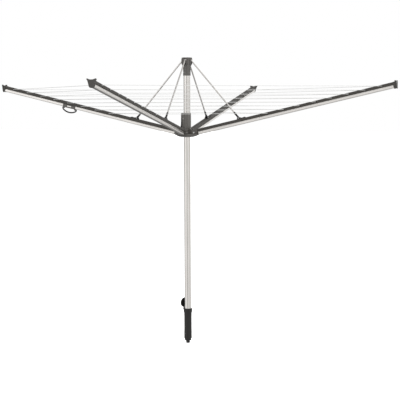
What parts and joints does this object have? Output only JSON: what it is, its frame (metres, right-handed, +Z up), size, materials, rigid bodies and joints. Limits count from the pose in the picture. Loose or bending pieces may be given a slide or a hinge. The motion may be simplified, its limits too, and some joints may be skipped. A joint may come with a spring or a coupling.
{
  "type": "rotary clothesline",
  "caption": "Folding rotary clothesline with a round mast in a ground socket, arms on a sliding hub, bracing struts and lines that draw back into the arms.",
  "frame": {"origin": "on the mast axis at ground level, where the socket barrel enters the ground", "axes": "+Z up along the mast; the right arm lies over +X, the back arm over +Y, the left arm with the pull handle over -X, the front arm over -Y"},
  "size_m": [3.159, 3.159, 2.144],
  "materials": {
    "aluminium": "satin anodised",
    "steel": "zinc plated",
    "dark_plastic": "fine grained",
    "black_plastic": "fine grained",
    "line": "smooth sheathed line",
    "elastic": "braided"
  },
  "bodies": {
    "socket": {"ground_socket": "black_plastic", "socket_bush": "dark_plastic", "lid_pin": "steel"},
    "lid": {"socket_lid": "black_plastic"},
    "mast": {"mast_tube": "aluminium", "mast_foot": "dark_plastic", "mast_head": "dark_plastic", "head_screws": "steel"},
    "hub": {"hub_body": "dark_plastic", "hub_bushes": "black_plastic", "arm_pins": "steel", "lever_pin": "steel", "lever_spring": "steel"},
    "lever": {"release_lever": "black_plastic"},
    "arm_right": {"arm_profile_right": "aluminium", "arm_cover_right": "dark_plastic", "arm_root_right": "dark_plastic", "arm_cap_right": "dark_plastic", "strut_bracket_right": "black_plastic", "strut_pin_right": "steel", "draw_cord_right": "elastic", "lines_right": "line"},
    "carriage_right": {"line_carriage_right": "dark_plastic"},
    "strut_right": {"strut_rod_right": "aluminium", "strut_end_right": "black_plastic"},
    "arm_back": {"arm_profile_back": "aluminium", "arm_cover_back": "dark_plastic", "arm_root_back": "dark_plastic", "arm_cap_back": "dark_plastic", "strut_bracket_back": "black_plastic", "strut_pin_back": "steel", "draw_cord_back": "elastic", "lines_back": "line"},
    "carriage_back": {"line_carriage_back": "dark_plastic"},
    "strut_back": {"strut_rod_back": "aluminium", "strut_end_back": "black_plastic"},
    "arm_left": {"arm_profile_left": "aluminium", "arm_cover_left": "dark_plastic", "arm_root_left": "dark_plastic", "arm_cap_left": "dark_plastic", "strut_bracket_left": "black_plastic", "strut_pin_left": "steel", "draw_cord_left": "elastic", "lines_left": "line", "handle_bracket": "dark_plastic"},
    "carriage_left": {"line_carriage_left": "dark_plastic"},
    "strut_left": {"strut_rod_left": "aluminium", "strut_end_left": "black_plastic"},
    "arm_front": {"arm_profile_front": "aluminium", "arm_cover_front": "dark_plastic", "arm_root_front": "dark_plastic", "arm_cap_front": "dark_plastic", "strut_bracket_front": "black_plastic", "strut_pin_front": "steel", "draw_cord_front": "elastic", "lines_front": "line"},
    "carriage_front": {"line_carriage_front": "dark_plastic"},
    "strut_front": {"strut_rod_front": "aluminium", "strut_end_front": "black_plastic"},
    "handle": {"pull_handle": "black_plastic"}
  },
  "joints": [
    {"name": "mast_spin", "type": "hinge", "parent": "socket", "child": "mast", "pos_m": [0, 0, 0], "axis": [0, 0, 1], "continuous": true},
    {"name": "lid_turn", "type": "hinge", "parent": "socket", "child": "lid", "pos_m": [-0.03464, 0.02, 0.034], "axis": [-0.5, -0.866, 0], "range_deg": [0, 95]},
    {"name": "hub_slide", "type": "slide", "parent": "mast", "child": "hub", "axis": [0, 0, -1], "range_m": [0, 0.39863]},
    {"name": "lever_pull", "type": "hinge", "parent": "hub", "child": "lever", "pos_m": [-0.02758, -0.02758, 1.461], "axis": [-0.7071, 0.7071, 0], "range_deg": [0, 14], "stiffness_Nm_per_rad": 0.3, "springref_deg": -11.46},
    {"name": "arm_right_lift", "type": "hinge", "parent": "hub", "child": "arm_right", "pos_m": [0.062, 0, 1.357], "axis": [0, -1, 0], "range_deg": [0, 74.22], "deforming": ["lines_right"]},
    {"name": "strut_right_turn", "type": "hinge", "parent": "arm_right", "child": "strut_right", "pos_m": [0.41064, 0, 1.46544], "axis": [0, 1, 0], "range_deg": [0, 113.22]},
    {"name": "carriage_right_run", "type": "slide", "parent": "arm_right", "child": "carriage_right", "axis": [0.9751, 0, 0.2215], "range_m": [0, 0.4505], "deforming": ["draw_cord_right"]},
    {"name": "arm_back_lift", "type": "hinge", "parent": "hub", "child": "arm_back", "pos_m": [0, 0.062, 1.357], "axis": [1, 0, 0], "range_deg": [0, 74.22], "deforming": ["lines_back"]},
    {"name": "strut_back_turn", "type": "hinge", "parent": "arm_back", "child": "strut_back", "pos_m": [0, 0.41064, 1.46544], "axis": [-1, 0, 0], "range_deg": [0, 113.22]},
    {"name": "carriage_back_run", "type": "slide", "parent": "arm_back", "child": "carriage_back", "axis": [0, 0.9751, 0.2215], "range_m": [0, 0.4505], "deforming": ["draw_cord_back"]},
    {"name": "arm_left_lift", "type": "hinge", "parent": "hub", "child": "arm_left", "pos_m": [-0.062, 0, 1.357], "axis": [0, 1, 0], "range_deg": [0, 74.22], "deforming": ["lines_left"]},
    {"name": "strut_left_turn", "type": "hinge", "parent": "arm_left", "child": "strut_left", "pos_m": [-0.41064, 0, 1.46544], "axis": [0, -1, 0], "range_deg": [0, 113.22]},
    {"name": "carriage_left_run", "type": "slide", "parent": "arm_left", "child": "carriage_left", "axis": [-0.9751, 0, 0.2215], "range_m": [0, 0.4505], "deforming": ["draw_cord_left"]},
    {"name": "arm_front_lift", "type": "hinge", "parent": "hub", "child": "arm_front", "pos_m": [0, -0.062, 1.357], "axis": [-1, 0, 0], "range_deg": [0, 74.22], "deforming": ["lines_front"]},
    {"name": "strut_front_turn", "type": "hinge", "parent": "arm_front", "child": "strut_front", "pos_m": [0, -0.41064, 1.46544], "axis": [1, 0, 0], "range_deg": [0, 113.22]},
    {"name": "carriage_front_run", "type": "slide", "parent": "arm_front", "child": "carriage_front", "axis": [0, -0.9751, 0.2215], "range_m": [0, 0.4505], "deforming": ["draw_cord_front"]},
    {"name": "handle_swing", "type": "hinge", "parent": "arm_left", "child": "handle", "pos_m": [-0.98731, 0, 1.538], "axis": [-0.9751, 0, 0.2215], "range_deg": [-75, 75]}
  ],
  "couplings": [
    {"joint": "arm_right_lift", "follows": "hub_slide", "rad_per_m": 3.2487},
    {"joint": "strut_right_turn", "follows": "hub_slide", "rad_per_m": 4.9561},
    {"joint": "carriage_right_run", "follows": "hub_slide", "ratio": 1.1289},
    {"joint": "arm_back_lift", "follows": "hub_slide", "rad_per_m": 3.2487},
    {"joint": "strut_back_turn", "follows": "hub_slide", "rad_per_m": 4.9561},
    {"joint": "carriage_back_run", "follows": "hub_slide", "ratio": 1.1289},
    {"joint": "arm_left_lift", "follows": "hub_slide", "rad_per_m": 3.2487},
    {"joint": "strut_left_turn", "follows": "hub_slide", "rad_per_m": 4.9561},
    {"joint": "carriage_left_run", "follows": "hub_slide", "ratio": 1.1289},
    {"joint": "arm_front_lift", "follows": "hub_slide", "rad_per_m": 3.2487},
    {"joint": "strut_front_turn", "follows": "hub_slide", "rad_per_m": 4.9561},
    {"joint": "carriage_front_run", "follows": "hub_slide", "ratio": 1.1289}
  ]
}
